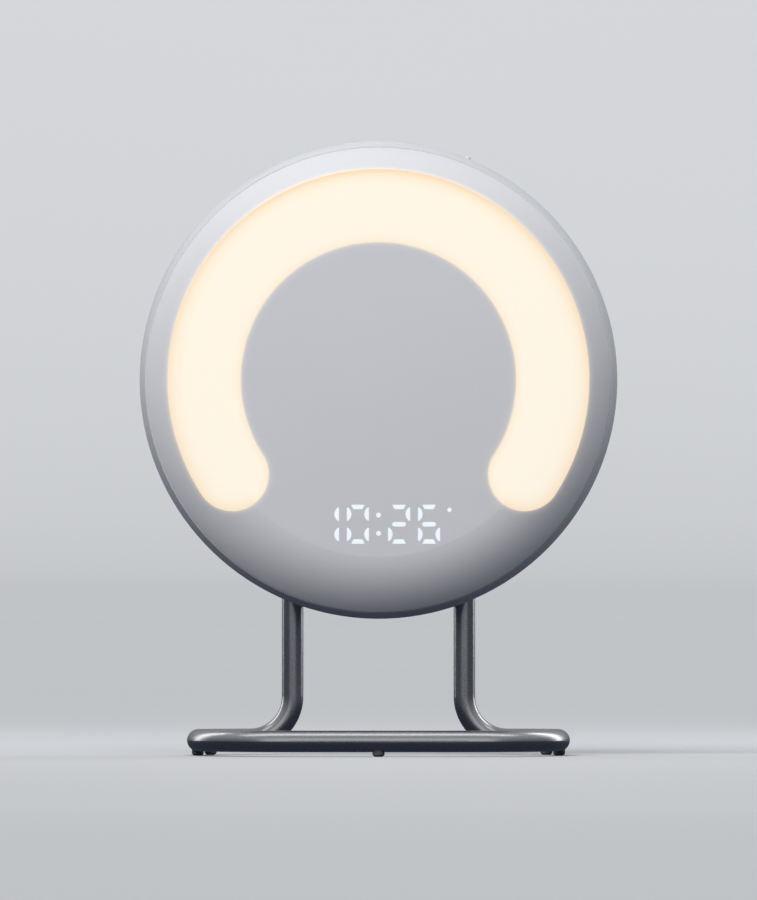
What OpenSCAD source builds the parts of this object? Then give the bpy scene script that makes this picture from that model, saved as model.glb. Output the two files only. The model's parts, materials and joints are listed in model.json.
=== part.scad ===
/* [Head] */
// Diameter of the head across its rim
head_d = 200; // [196:1:206]
// Height of the head's lowest point above the table
head_lift = 57; // [52:1:66]
// Step in from the head's widest circle to the seam
seam_in = 2.5; // [1.6:0.1:3]
// Distance from the seam to the deepest point of the back
back_depth = 52; // [50:0.5:56]
// Radius of the gently domed back
back_dome_r = 500; // [400:10:700]
// Radius of the rounding between rim and back
shoulder_r = 12; // [10:0.5:14]
// Wall of the two moulded shells
wall = 2.2; // [1.8:0.1:2.6]

/* [Face] */
// Step from the rear shell's edge in to the front cover
cover_step = 0.5; // [0.3:0.1:0.8]
// Gap between the front cover and the rear shell
seam_gap = 0.3; // [0.2:0.05:0.5]
// Radius of the gently domed middle of the face
face_dome_r = 1400; // [1000:50:2000]
// Width of the border that turns down to the seam
face_turn_w = 26; // [22:0.5:28]
// Radius of that border's rounding
face_turn_r = 35; // [32:0.5:38]
// Height of the upright edge between border and seam
edge_land = 0.8; // [0.6:0.1:1.2]

/* [Light] */
// Distance from the head's widest circle in to the window
light_in = 12; // [11:0.5:14]
// Width of the window across its stroke
light_w = 30.5; // [28:0.5:32]
// Angle from the top to the middle of each rounded end
light_end = 122.9; // [115:0.1:128]
// Gap round the window in the cover
window_gap = 0.1; // [0.05:0.05:0.2]
// Number of light-emitting diodes along the C
led_count = 31; // [21:2:41]

/* [Display] */
// Height of a digit
digit_h = 16.3; // [15:0.1:18]
// Width of a digit
digit_w = 9.2; // [9:0.1:10]
// Distance between two neighbouring digits
digit_pitch = 12.5; // [12:0.1:13]
// Distance from the colon to the digits beside it
colon_reach = 8.6; // [8.2:0.1:9.4]
// Distance from the head's widest circle up to the middle of the digits
display_in = 39.7; // [38:0.1:42]
// Width of a segment's stroke
stroke = 1.9; // [1.6:0.1:2.2]

/* [Buttons] */
// Diameter of the snooze button on top
snooze_d = 30; // [26:0.5:31]
// How far the snooze button's crown stands above the head's circle
snooze_rise = 0.6; // [0.5:0.1:0.9]
// Travel of the snooze button
snooze_travel = 1; // [0.6:0.1:1.2]
// Distance round the rim from the top to the side key
side_key_along = 38.4; // [36:0.1:52]
// Width of the side key round the rim
side_key_w = 2; // [1.6:0.1:2.4]
// Length of the side key across the rim
side_key_l = 9; // [7:0.5:12]
// Diameter of a rear key
key_d = 9; // [8:0.5:10]
// Number of rear keys
key_count = 5; // [3:2:5]
// Angle between two rear keys
key_step = 18; // [16:1:20]
// Distance from the head's widest circle in to the arc of the rear keys
key_arc_in = 40; // [37:1:42]
// Travel of a rear key and of the side key
key_travel = 0.5; // [0.3:0.1:0.6]

/* [Stand] */
// Diameter of the stand's tube
tube_d = 9; // [8:0.5:10]
// Wall of the stand's tube
tube_wall = 1.2; // [1:0.1:1.6]
// Distance between the two legs
leg_span = 72; // [66:1:76]
// Overall width of the base loop
base_w = 160; // [150:1:180]
// Depth of the base loop from axis to axis
base_depth = 72; // [68:1:90]
// Radius of the bend from a leg into the base
leg_bend_r = 18; // [14:0.5:18]
// Radius of the base loop's front corners
front_corner_r = 38; // [24:1:38]
// Radius of the base loop's rear corners
rear_corner_r = 20; // [14:0.5:20]
// Distance from the back's deepest point in to the legs' axis
leg_in = 16; // [15:0.5:18]
// How far the feet hold the tube off the table
foot_h = 1.9; // [1.4:0.1:3]
// Diameter of a foot
foot_d = 5; // [4.5:0.5:8]

/* [Speaker and inlet] */
// Diameter of the perforated speaker plate
grille_d = 62; // [58:1:66]
// Diameter of a hole in the speaker plate
grille_hole_d = 2.4; // [1.8:0.1:3]
// Rings of holes round the middle hole
grille_rings = 5; // [3:1:5]
// Diameter of the recess that takes the power plug
inlet_d = 11; // [10:0.5:12]
// Depth of the plug's recess
inlet_depth = 6; // [5:0.5:8]

/* [Hidden] */
$fn = 96;
dome_fn = 1440;

// clearances
slide_gap = 0.25;
rest_gap = 0.1;
leg_fit = 0.05;
thread_gap = 0.05;
blend = 0.2;
eps = 0.01;

// head form, in the head's own frame: x right, y up the face, z out of the face, seam at z = 0
head_r = head_d / 2;
seam_r = head_r - seam_in;
rim_z = -even(sqrt(pow(head_r, 2) - pow(seam_r, 2)));
back_cz = back_dome_r - back_depth;
shoulder_z = even(back_z(head_r - shoulder_r) + shoulder_r - blend);
shoulder_x = even(rim_r(shoulder_z) - shoulder_r + blend);
cover_r = seam_r - cover_step;
// the border's circle stands a hair outside the dome's, so that the two cross
crease = 0.02;
turn_x = cover_r - face_turn_w;
turn_z = even(seam_gap + edge_land - sqrt(pow(face_turn_r, 2) - pow(face_turn_w, 2)));
face_cz = even(turn_z - sqrt(pow(face_dome_r - face_turn_r, 2) - pow(turn_x, 2)) - crease);
face_h = even(face_cz + face_dome_r);
turn_start = even(turn_x * face_dome_r / (face_dome_r - face_turn_r));
skirt_l = 3;
skirt_w = 2;

// light; the round ends are a hair wider than the band, so that their arcs cross its edges
cap_over = 0.03;
light_r = head_r - light_in - light_w / 2;
flange_w = 1.5;
flange_t = 1.2;
channel_wall = 1.4;
chassis_t = 2;
chassis_z = -12;
chassis_back = chassis_z - chassis_t;
chassis_r = head_r - light_in + 2;
chassis_wall_gap = 0.3;
led_board_t = 1.2;
led_board_w = 18;
led_size = 3.5;
led_h = 0.9;

// display
display_drop = head_r - display_in;
thin_skin = 1;
block_margin = [7, 2];
pocket_gap = 0.5;
block_l = 2 * (colon_reach + digit_pitch + block_margin[0]) + digit_w;
block_h = digit_h + 2 * block_margin[1];
block_post_in = 3;
block_front = even(face_z(norm([block_l / 2, display_drop + block_h / 2])) - thin_skin - rest_gap);
block_t = 9;
block_back = block_front - block_t;
lens_depth = 6;
pcb_t = 1.6;
digit_x = [-colon_reach - digit_pitch, -colon_reach, colon_reach, colon_reach + digit_pitch];
colon_gap = digit_h * 0.468;
colon_d = 2;
dot_d = 1.8;
dot_reach = 3.9;
dot_at = [colon_reach + digit_pitch + digit_w / 2 + dot_reach, digit_h * 0.368];

// screws
screw_d = 3;
screw_head_d = 5.6;
screw_head_h = 2.2;
drive_d = 2.6;
drive_depth = 1.3;
hole_d = screw_d + 0.4;
thread_d = screw_d + 2 * thread_gap;
board_grip = 4;
boss_d = 9;
cover_boss_d = 8;
// four on a 3-4-5 triangle inside the C, and one below the display
case_ring_r = light_r - light_w / 2 - 7.5;
case_foot = 17;
case_at = concat([for (x = [1, -1], y = [1, -1]) case_ring_r * [0.8 * x, 0.6 * y]], [[0, case_foot - head_r]]);
case_screw_in = 9;
case_screw_l = 33;
counterbore_d = 7;
head_seat_z = chassis_z + case_screw_in - case_screw_l;

// main board, between the upper screw bosses
board_side_gap = 2.5;
board_size = [2 * (0.8 * case_ring_r - boss_d / 2 - board_side_gap), 1.6 * case_ring_r];
board_at = [0, 4];
post_h = 6;
post_d = 6;
board_back = chassis_back - post_h - pcb_t;
board_edge = 5;
post_at = [for (x = [-1, 1], y = [-1, 1])
  [board_at[0] + x * (board_size[0] / 2 - board_edge), board_at[1] + y * (board_size[1] / 2 - board_edge)]];
// each chip's place as a share of the board, and its width, its height and how far it stands up
chips = [
  [-0.30, 0.22, 9, 9, 1.6],
  [0.27, 0.25, 14, 8, 2],
  [-0.33, -0.20, 7, 12, 1.6],
  [0.30, -0.10, 10, 6, 6]
];
capacitor_at = [[-0.09, -0.37], [0.09, -0.37]];
capacitor_d = 8;
capacitor_h = 9;

// snooze button, in the frame of its own axis: z up from the head's middle
snooze_r = snooze_d / 2;
snooze_top = head_r + snooze_rise;
snooze_cap = 3;
snooze_stem_r = 2;
snooze_skirt = 1.5;
snooze_bore_r = snooze_r + slide_gap;
sleeve_wall = 1.6;
sleeve_end = head_r - 7.2;
snooze_flange = 1.2;
snooze_dome_r = 68;
snooze_dish_r = 55;
snooze_dish = 0.35;
snooze_edge_r = 0.4;
snooze_board_drop = 5;
snooze_board_z = sleeve_end - snooze_flange - snooze_travel - snooze_board_drop;
snooze_board_w = 14;
snooze_post_x = snooze_bore_r + sleeve_wall + 2.4;
switch_w = 6;
switch_h = 3.5;
plunger_d = 3.4;
plunger_h = 1;
spring_r = 5.6;
spring_wire = 0.7;
spring_turns = 6;

// side key, in the frame of its own axis
side_key_angle = even(side_key_along / head_r * 180 / PI);
side_key_rise = 0.7;
side_key_top = head_r + side_key_rise;
side_flange = 1.5;
side_flange_t = 1;
side_stem_l = 2.1;
side_land_t = 1;
side_land = head_r - wall - side_land_t;
side_stop = side_land - rest_gap - side_flange_t - side_stem_l;
side_board_r = side_stop - key_travel - rest_gap - plunger_h - switch_h;
side_post_x = 6.5;
side_post_d = 4;
side_pad = [side_key_w + 6, side_key_l + 5];
side_board_w = 10;

// rear keys
key_arc_r = head_r - key_arc_in;
key_rise = 1;
key_flange = 1.2;
key_stem_d = 3;
key_land_edge = 2.5;
key_band = key_d + 2 * key_land_edge;
key_board_w = 12;
key_post_d = 5;
land_t = 0.6;
key_land = even(back_z(key_arc_r + key_band / 2) + wall + land_t);
key_stem_l = 1.2;
key_switch_z = key_land + rest_gap + key_flange + key_stem_l + key_travel + rest_gap;
key_board_back = key_switch_z + plunger_h + switch_h;
key_span = (key_count - 1) * key_step;
key_post_a = key_span / 2 - key_step / 2;

// speaker
speaker_r = grille_d / 2;
ledge_w = 2.5;
grille_t = 0.8;
grille_z = even(back_z(speaker_r) + rest_gap);
speaker_ring = 2;
speaker_land = even(back_z(speaker_r + speaker_ring) + wall + land_t);
gasket_t = 0.6;
flange_z = speaker_land + gasket_t;
basket_h = 9;
magnet_r = 15;
magnet_h = 6;

// inlet
inlet_in = [42, 62];
inlet_at = [inlet_in[0] - head_r, inlet_in[1] - head_r];
inlet_floor = even(back_z(norm(inlet_at)) + inlet_depth);
inlet_floor_t = 2.4;
jack_bore_d = 5.6;
jack_snout_d = jack_bore_d + 1;
jack_pin_d = 1.9;
jack_body = [9, 11, 11];
jack_hole_l = 8;

// stand
head_z = head_lift + head_r;
tube_r = tube_d / 2;
tube_z = foot_h + tube_r;
leg_x = leg_span / 2;
leg_back = back_depth - leg_in;
loop_x = base_w / 2 - tube_r;
overall_depth = even(base_depth + tube_r - back_z(speaker_r + slide_gap) - leg_back);
front_y = -overall_depth / 2 + tube_r;
rear_y = front_y + base_depth;
seam_y = rear_y - leg_back;
leg_top = 39;
foot_stem_d = 3;
foot_stem_l = 3.4;
foot_lip = 0.9;
side_foot_back = 4;
rear_foot_angle = 48;
socket_l = 33;
socket_d = tube_d + 4;
leg_hole_d = tube_d + 0.8;
leg_screw_in = 6;
leg_screw_y = leg_top + leg_screw_in;
leg_screw_past = 0.5;
bracket_screw_x = leg_x / 2;
bracket_drop = 17;
bracket_y = leg_top + bracket_drop;
bracket_grip = 6;
bracket_hole_l = 8;
web_h = 12;
web_t = 4;

// ---- curves of the head ----
// rounds a size worked out from a curve to a hundredth of a millimetre
function even(v) = round(v * 100) / 100;
function rim_r(z) = sqrt(pow(head_r, 2) - pow(z - rim_z, 2));
function back_z(r) = back_cz - sqrt(pow(back_dome_r, 2) - r * r);
function face_z(r) = r < turn_start ? face_cz + sqrt(pow(face_dome_r, 2) - r * r)
  : turn_z + sqrt(pow(face_turn_r, 2) - pow(r - turn_x, 2));
function snooze_z(r) = snooze_top - snooze_dome_r + sqrt(pow(snooze_dome_r, 2) - r * r);

module on_head() {
  translate([0, seam_y, head_z]) rotate([90, 0, 0]) children();
}

// z up along the radius that points "angle" clockwise from the top, at the rim's widest plane
module on_rim(angle) {
  on_head() translate([0, 0, rim_z]) rotate([0, 0, -angle]) rotate([-90, 0, 0]) children();
}

// turned about the face's axis, out to the arc of the rear keys
module on_key_arc(angle) {
  rotate([0, 0, -angle]) translate([0, key_arc_r]) children();
}

// a ring with a wall of "t", or a disc when "t" is 0
module tube_section(d, t) {
  difference() {
    circle(d = d);
    if (t > 0) circle(d = d - 2 * t);
  }
}

// everything behind the seam, "t" inside the outer skin
module rear_solid(t, top) {
  far = 2 * head_r;
  rotate_extrude() difference() {
    intersection() {
      translate([0, rim_z]) circle(r = head_r - t);
      translate([0, back_cz]) circle(r = back_dome_r - t, $fn = dome_fn);
      translate([0, -far]) square([far, far + top]);
    }
    difference() {
      translate([shoulder_x, shoulder_z - far]) square(far);
      translate([shoulder_x, shoulder_z]) circle(r = shoulder_r - t);
    }
  }
}

// everything below the face's skin, "t" inside it, down to "bottom"
module face_solid(t, bottom, r) {
  rotate_extrude() difference() {
    intersection() {
      translate([0, face_cz]) circle(r = face_dome_r - t, $fn = dome_fn);
      translate([0, bottom]) square([r, face_h + 1 - bottom]);
    }
    difference() {
      translate([turn_start, turn_z]) square(2 * face_turn_r);
      translate([turn_x, turn_z]) circle(r = face_turn_r - t);
    }
  }
}

// the C, with rounded ends
module c_shape(half_w) {
  far = 2 * head_r;
  end = [far * sin(light_end), far * cos(light_end)];
  difference() {
    circle(r = light_r + half_w);
    circle(r = light_r - half_w);
    polygon([[0, 0], end, [end[0], -far], [-end[0], -far], [-end[0], end[1]]]);
  }
  for (s = [-1, 1])
    translate(light_r * [s * sin(light_end), cos(light_end)]) circle(r = half_w + cap_over);
}

module screw(length) {
  translate([0, 0, -eps]) cylinder(d = screw_d, h = length + eps);
  translate([0, 0, -screw_head_h]) difference() {
    cylinder(d = screw_head_d, h = screw_head_h);
    translate([0, 0, -eps]) cylinder(d = drive_d, h = drive_depth + eps, $fn = 6);
  }
}

module tact_switch() {
  translate([-switch_w / 2, -switch_w / 2, 0]) cube([switch_w, switch_w, switch_h]);
  translate([0, 0, switch_h - eps]) cylinder(d = plunger_d, h = plunger_h + eps);
}

// ---- front ----
module front_cover() {
  color("gainsboro") on_head() difference() {
    union() {
      difference() {
        face_solid(0, seam_gap, cover_r);
        face_solid(wall, seam_gap - 1, cover_r - wall - skirt_w);
      }
      rotate_extrude() translate([cover_r - wall - skirt_w, -skirt_l])
        square([skirt_w, skirt_l + seam_gap + eps]);
      intersection() {
        face_solid(wall / 2, chassis_z, cover_r - wall);
        for (p = case_at) translate([p[0], p[1], chassis_z])
          cylinder(d = cover_boss_d, h = face_h - chassis_z);
      }
    }
    linear_extrude(2 * face_h) c_shape(light_w / 2);
    intersection() {
      face_solid(thin_skin, -1, cover_r - wall);
      translate([-block_l / 2 - pocket_gap, -display_drop - block_h / 2 - pocket_gap, -1])
        cube([block_l + 2 * pocket_gap, block_h + 2 * pocket_gap, 2 * face_h]);
    }
    for (p = case_at) translate([p[0], p[1], chassis_z - 1]) cylinder(d = thread_d, h = case_screw_in + 2);
  }
}

module light_window() {
  color("cornsilk") on_head() {
    intersection() {
      difference() {
        face_solid(0, 0, cover_r - wall);
        face_solid(wall + flange_t, -1, cover_r);
      }
      linear_extrude(2 * face_h) c_shape(light_w / 2 - window_gap);
    }
    intersection() {
      difference() {
        face_solid(wall + leg_fit, 0, cover_r - wall - skirt_w - 1);
        face_solid(wall + flange_t, -1, cover_r);
      }
      linear_extrude(2 * face_h) c_shape(light_w / 2 + flange_w);
    }
  }
}

module light_chassis() {
  wall_in = light_w / 2 + chassis_wall_gap;
  color("white") on_head() difference() {
    union() {
      translate([0, 0, chassis_back]) cylinder(r = chassis_r, h = chassis_t);
      intersection() {
        face_solid(wall + flange_t + rest_gap, chassis_z - eps, cover_r);
        translate([0, 0, chassis_z - eps]) linear_extrude(3 * face_h) difference() {
          c_shape(wall_in + channel_wall);
          c_shape(wall_in);
        }
      }
      for (p = post_at) translate([p[0], p[1], chassis_back - post_h])
        cylinder(d = post_d, h = post_h + eps);
      display_posts() cylinder(d = post_d, h = block_back - pcb_t - chassis_z + eps);
    }
    for (p = case_at) translate([p[0], p[1], chassis_back - 1]) cylinder(d = hole_d, h = chassis_t + 2);
    for (p = post_at) translate([p[0], p[1], chassis_back - post_h - 1]) cylinder(d = thread_d, h = post_h);
  }
}

module display_posts() {
  for (sx = [-1, 1], sy = [-1, 1])
    translate([sx * (block_l / 2 - block_post_in), sy * (block_h / 2 - block_post_in) - display_drop, chassis_z - eps])
      children();
}

module led_board() {
  color("whitesmoke") on_head()
    translate([0, 0, chassis_z]) linear_extrude(led_board_t) c_shape(led_board_w / 2);
}

module leds() {
  color("khaki") on_head()
    for (i = [0:led_count - 1]) {
      a = light_end * (2 * i / (led_count - 1) - 1);
      rotate([0, 0, -a])
        translate([-led_size / 2, light_r - led_size / 2, chassis_z + led_board_t])
          cube([led_size, led_size, led_h]);
    }
}

// ---- display ----
// a lens-shaped stroke: straight outside, curved inside, "l" long
module bar(l, w) {
  bulge = l * 0.66;
  intersection() {
    translate([-l / 2, 0]) square([l, w]);
    translate([0, w - bulge]) circle(r = bulge);
  }
}

module digit_segments() {
  gap = 2.5;
  v = (digit_h - stroke - gap) / 2;
  h = digit_w - 2 * stroke;
  for (s = [-1, 1]) {
    translate([0, s * digit_h / 2]) mirror([0, s > 0 ? 1 : 0]) bar(h, stroke);
    for (t = [-1, 1])
      translate([s * digit_w / 2, t * (v + gap) / 2]) rotate(s > 0 ? 90 : -90) bar(v, stroke);
  }
  translate([-h / 2 + stroke / 2, -stroke / 2]) square([h - stroke, stroke]);
  for (s = [-1, 1]) translate([s * (h / 2 - stroke / 2), 0]) circle(d = stroke);
}

module display_lights() {
  translate([0, -display_drop]) {
    for (x = digit_x) translate([x, 0]) digit_segments();
    for (s = [-1, 1]) translate([0, s * colon_gap / 2]) circle(d = colon_d);
    translate(dot_at) circle(d = dot_d);
  }
}

module display_block() {
  color("dimgray") on_head() difference() {
    translate([-block_l / 2, -display_drop - block_h / 2, block_back])
      cube([block_l, block_h, block_t]);
    translate([0, 0, block_front - lens_depth]) linear_extrude(lens_depth + 1) display_lights();
  }
}

module segment_lenses() {
  color("azure") on_head()
    translate([0, 0, block_front - lens_depth]) linear_extrude(lens_depth) display_lights();
}

module display_board() {
  color("seagreen") on_head()
    translate([-block_l / 2, -display_drop - block_h / 2, block_back - pcb_t])
      cube([block_l, block_h, pcb_t]);
}

// ---- electronics ----
module main_board() {
  color("seagreen") on_head() difference() {
    translate([board_at[0] - board_size[0] / 2, board_at[1] - board_size[1] / 2, board_back])
      cube([board_size[0], board_size[1], pcb_t]);
    for (p = post_at) translate([p[0], p[1], board_back - 1]) cylinder(d = hole_d, h = pcb_t + 2);
  }
}

// at a place given in shares of the main board, on its rear side
module on_board(share) {
  translate([board_at[0] + share[0] * board_size[0], board_at[1] + share[1] * board_size[1], board_back])
    children();
}

module board_parts() {
  color("darkslategray") on_head() {
    for (c = chips) on_board(c) translate([-c[2] / 2, -c[3] / 2, -c[4]]) cube([c[2], c[3], c[4]]);
    for (p = capacitor_at) on_board(p) translate([0, 0, -capacitor_h])
      cylinder(d = capacitor_d, h = capacitor_h);
  }
}

module board_screws() {
  color("silver") on_head()
    for (p = post_at) translate([p[0], p[1], board_back]) screw(post_h);
}

// ---- rear housing ----
module rear_housing() {
  color("gainsboro") difference() {
    union() {
      on_head() difference() {
        rear_solid(0, 0);
        rear_solid(wall, 1);
      }
      intersection() {
        on_head() rear_solid(wall / 2, -wall);
        housing_bosses();
      }
    }
    housing_holes();
  }
}

module housing_bosses() {
  on_head() {
    for (p = case_at) translate([p[0], p[1], -back_depth])
      cylinder(d = boss_d, h = back_depth + chassis_back - rest_gap);
    translate([0, 0, -back_depth]) cylinder(r = speaker_r + speaker_ring, h = back_depth + speaker_land);
    rotate([0, 0, 90 - key_span / 2 - 8])
      rotate_extrude(angle = key_span + 16) translate([key_arc_r - key_band / 2, -back_depth])
        square([key_band, back_depth + key_land]);
    for (s = [-1, 1]) rotate([0, 0, -s * key_post_a]) translate([0, key_arc_r, -back_depth])
      cylinder(d = key_post_d, h = back_depth + key_board_back);
    translate([inlet_at[0], inlet_at[1], -back_depth])
      cylinder(d = inlet_d + 2 * wall, h = back_depth + inlet_floor + inlet_floor_t);
    for (s = [-1, 1]) translate([s * bracket_screw_x, -bracket_y, -back_depth])
      cylinder(d = boss_d, h = back_depth - leg_back - web_t / 2);
  }
  on_rim(0) {
    translate([0, 0, sleeve_end]) cylinder(r = snooze_bore_r + sleeve_wall, h = head_r);
    for (s = [-1, 1]) translate([s * snooze_post_x, 0, snooze_board_z])
      cylinder(d = post_d, h = head_r);
  }
  on_rim(side_key_angle) {
    translate([-side_pad[0] / 2, -side_pad[1] / 2, side_land]) cube([side_pad[0], side_pad[1], head_r]);
    for (s = [-1, 1]) translate([s * side_post_x, 0, side_board_r]) cylinder(d = side_post_d, h = head_r);
  }
}

module housing_holes() {
  far = 2 * head_r;
  on_head() {
    for (p = case_at) translate([p[0], p[1], -far]) {
      cylinder(d = hole_d, h = 2 * far);
      cylinder(d = counterbore_d, h = far + head_seat_z);
    }
    translate([0, 0, -far]) {
      cylinder(r = speaker_r - ledge_w, h = far);
      cylinder(r = speaker_r + slide_gap, h = far + grille_z + grille_t);
    }
    for (i = [0:key_count - 1]) on_key_arc(key_angle(i)) translate([0, 0, -far])
      cylinder(d = key_d + 2 * slide_gap, h = far);
    for (s = [-1, 1]) rotate([0, 0, -s * key_post_a])
      translate([0, key_arc_r, key_board_back - board_grip - 1]) cylinder(d = thread_d, h = board_grip + 2);
    translate([inlet_at[0], inlet_at[1], -far]) {
      cylinder(d = inlet_d, h = far + inlet_floor);
      cylinder(d = jack_snout_d + 0.4, h = far);
    }
    for (s = [-1, 1]) translate([s * bracket_screw_x, -bracket_y, 1 - leg_back - web_t / 2 - bracket_hole_l])
      cylinder(d = thread_d, h = bracket_hole_l);
  }
  on_rim(0) {
    cylinder(r = snooze_bore_r, h = far);
    for (s = [-1, 1]) translate([s * snooze_post_x, 0, snooze_board_z - 1])
      cylinder(d = thread_d, h = board_grip + 2);
  }
  on_rim(side_key_angle) {
    key_prism(slide_gap);
    for (s = [-1, 1]) translate([s * side_post_x, 0, side_board_r - 1])
      cylinder(d = thread_d, h = board_grip + 2);
  }
  leg_places() translate([0, 0, head_z - head_r - 5]) cylinder(d = leg_hole_d, h = head_r / 2);
}

module case_screws() {
  color("silver") on_head()
    for (p = case_at) translate([p[0], p[1], head_seat_z]) screw(case_screw_l);
}

// ---- snooze button ----
module snooze_button() {
  flange_top = sleeve_end - rest_gap;
  stop = snooze_board_z + switch_h + plunger_h + snooze_travel + rest_gap;
  color("whitesmoke") on_rim(0) {
    difference() {
      union() {
        cylinder_between(snooze_r, flange_top - eps, snooze_top);
        cylinder_between(snooze_bore_r + sleeve_wall / 2, flange_top - snooze_flange, flange_top);
      }
      cylinder_between(snooze_r - snooze_skirt, flange_top - snooze_flange - 1, snooze_top - snooze_cap);
      snooze_top_cut();
    }
    cylinder_between(snooze_stem_r, stop, snooze_top - snooze_cap + blend);
  }
}

// what is cut away above the button: outside its dome, inside the finger's dish and past its rounded edge
module snooze_top_cut() {
  corner = [snooze_r - snooze_edge_r, even(snooze_z(snooze_r - snooze_edge_r) - snooze_edge_r)];
  rotate_extrude() {
    difference() {
      translate([0, snooze_top - snooze_cap]) square([2 * snooze_r, 2 * snooze_cap]);
      translate([0, snooze_top - snooze_dome_r]) circle(r = snooze_dome_r, $fn = dome_fn);
    }
    intersection() {
      translate([0, snooze_top - snooze_dish + snooze_dish_r]) circle(r = snooze_dish_r, $fn = dome_fn);
      translate([0, snooze_top - 1]) square([snooze_r, 2]);
    }
    difference() {
      translate(corner) square(2 * snooze_r);
      translate(corner) circle(r = snooze_edge_r);
    }
  }
}

module cylinder_between(r, z0, z1) {
  translate([0, 0, z0]) cylinder(r = r, h = z1 - z0);
}

// a coil of round wire, swept as one closed skin
module coil(r, wire, height, turns, sides = 8, steps = 16) {
  n = turns * steps;
  rise = (height - wire) / n;
  ring = [for (i = [0:n], j = [0:sides - 1])
    let (a = i * 360 / steps, b = j * 360 / sides, reach = r + wire / 2 * cos(b))
    [reach * cos(a), reach * sin(a), wire / 2 + i * rise + wire / 2 * sin(b)]];
  skin = [for (i = [0:n - 1], j = [0:sides - 1])
    let (k = (j + 1) % sides)
    [i * sides + j, i * sides + k, (i + 1) * sides + k, (i + 1) * sides + j]];
  ends = [[for (j = [sides - 1:-1:0]) j], [for (j = [0:sides - 1]) n * sides + j]];
  polyhedron(ring, concat(skin, ends));
}

module snooze_spring() {
  color("silver") on_rim(0) translate([0, 0, snooze_board_z])
    coil(spring_r, spring_wire, snooze_top - snooze_cap - snooze_board_z, spring_turns);
}

module snooze_switch() {
  color("dimgray") on_rim(0) translate([0, 0, snooze_board_z]) tact_switch();
}

module snooze_board() {
  l = 2 * snooze_post_x + post_d;
  color("seagreen") on_rim(0) difference() {
    translate([-l / 2, -snooze_board_w / 2, snooze_board_z - pcb_t]) cube([l, snooze_board_w, pcb_t]);
    for (s = [-1, 1]) translate([s * snooze_post_x, 0, snooze_board_z - pcb_t - 1])
      cylinder(d = hole_d, h = pcb_t + 2);
  }
}

module snooze_screws() {
  color("silver") on_rim(0)
    for (s = [-1, 1]) translate([s * snooze_post_x, 0, snooze_board_z - pcb_t]) screw(pcb_t + board_grip);
}

// ---- side key ----
// the key's slot and blade, rounded at both ends
module key_prism(gap) {
  l = side_key_l - side_key_w;
  linear_extrude(2 * head_r) {
    square([side_key_w + 2 * gap, l], center = true);
    for (s = [-1, 1]) translate([0, s * l / 2]) circle(d = side_key_w + 2 * gap);
  }
}

module side_key() {
  flange_top = side_land - rest_gap;
  color("whitesmoke") on_rim(side_key_angle) {
    intersection() {
      key_prism(0);
      cylinder_between(side_key_l, flange_top - eps, side_key_top);
    }
    translate([-side_key_w / 2 - side_flange / 2, -side_key_l / 2 - side_flange / 2, flange_top - side_flange_t])
      cube([side_key_w + side_flange, side_key_l + side_flange, side_flange_t]);
    cylinder_between(side_key_w / 2, side_stop, flange_top - blend);
  }
}

module side_switch() {
  color("dimgray") on_rim(side_key_angle) translate([0, 0, side_board_r]) tact_switch();
}

module side_board() {
  l = 2 * side_post_x + side_post_d + 1;
  color("seagreen") on_rim(side_key_angle) difference() {
    translate([-l / 2, -side_board_w / 2, side_board_r - pcb_t]) cube([l, side_board_w, pcb_t]);
    for (s = [-1, 1]) translate([s * side_post_x, 0, side_board_r - pcb_t - 1])
      cylinder(d = hole_d, h = pcb_t + 2);
  }
}

module side_screws() {
  color("silver") on_rim(side_key_angle)
    for (s = [-1, 1]) translate([s * side_post_x, 0, side_board_r - pcb_t]) screw(pcb_t + board_grip);
}

// ---- rear keys ----
function key_angle(i) = (i - (key_count - 1) / 2) * key_step;

module rear_key(i) {
  outer = back_z(key_arc_r) - key_rise;
  flange_z0 = key_land + rest_gap;
  color("whitesmoke") on_head() on_key_arc(key_angle(i)) {
    cylinder_between(key_d / 2, outer, flange_z0 + eps);
    cylinder_between(key_d / 2 + key_flange, flange_z0, flange_z0 + key_flange);
    cylinder_between(key_stem_d / 2, flange_z0 + key_flange - eps, flange_z0 + key_flange + key_stem_l);
  }
}

module key_board() {
  color("seagreen") on_head() difference() {
    rotate([0, 0, 90 - key_span / 2 - 7])
      rotate_extrude(angle = key_span + 14) translate([key_arc_r - key_board_w / 2, key_board_back])
        square([key_board_w, pcb_t]);
    for (s = [-1, 1]) rotate([0, 0, -s * key_post_a]) translate([0, key_arc_r, key_board_back - 1])
      cylinder(d = hole_d, h = pcb_t + 2);
  }
}

module key_switches() {
  color("dimgray") on_head() for (i = [0:key_count - 1]) on_key_arc(key_angle(i))
    translate([0, 0, key_board_back]) mirror([0, 0, 1]) tact_switch();
}

module key_screws() {
  color("silver") on_head()
    for (s = [-1, 1]) rotate([0, 0, -s * key_post_a])
      translate([0, key_arc_r, key_board_back + pcb_t]) mirror([0, 0, 1]) screw(pcb_t + board_grip);
}

// ---- speaker ----
module speaker_grille() {
  ring_step = (speaker_r - ledge_w - grille_hole_d / 2) / (grille_rings + 0.1);
  color("gray") on_head() translate([0, 0, grille_z]) difference() {
    cylinder(r = speaker_r, h = grille_t);
    translate([0, 0, -1]) cylinder(d = grille_hole_d, h = grille_t + 2);
    for (k = [1:grille_rings], i = [0:6 * k - 1])
      rotate([0, 0, i * 60 / k]) translate([k * ring_step, 0, -1])
        cylinder(d = grille_hole_d, h = grille_t + 2);
  }
}

module speaker_gasket() {
  color("black") on_head() translate([0, 0, speaker_land])
    linear_extrude(gasket_t) tube_section(2 * speaker_r, 3);
}

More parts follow.
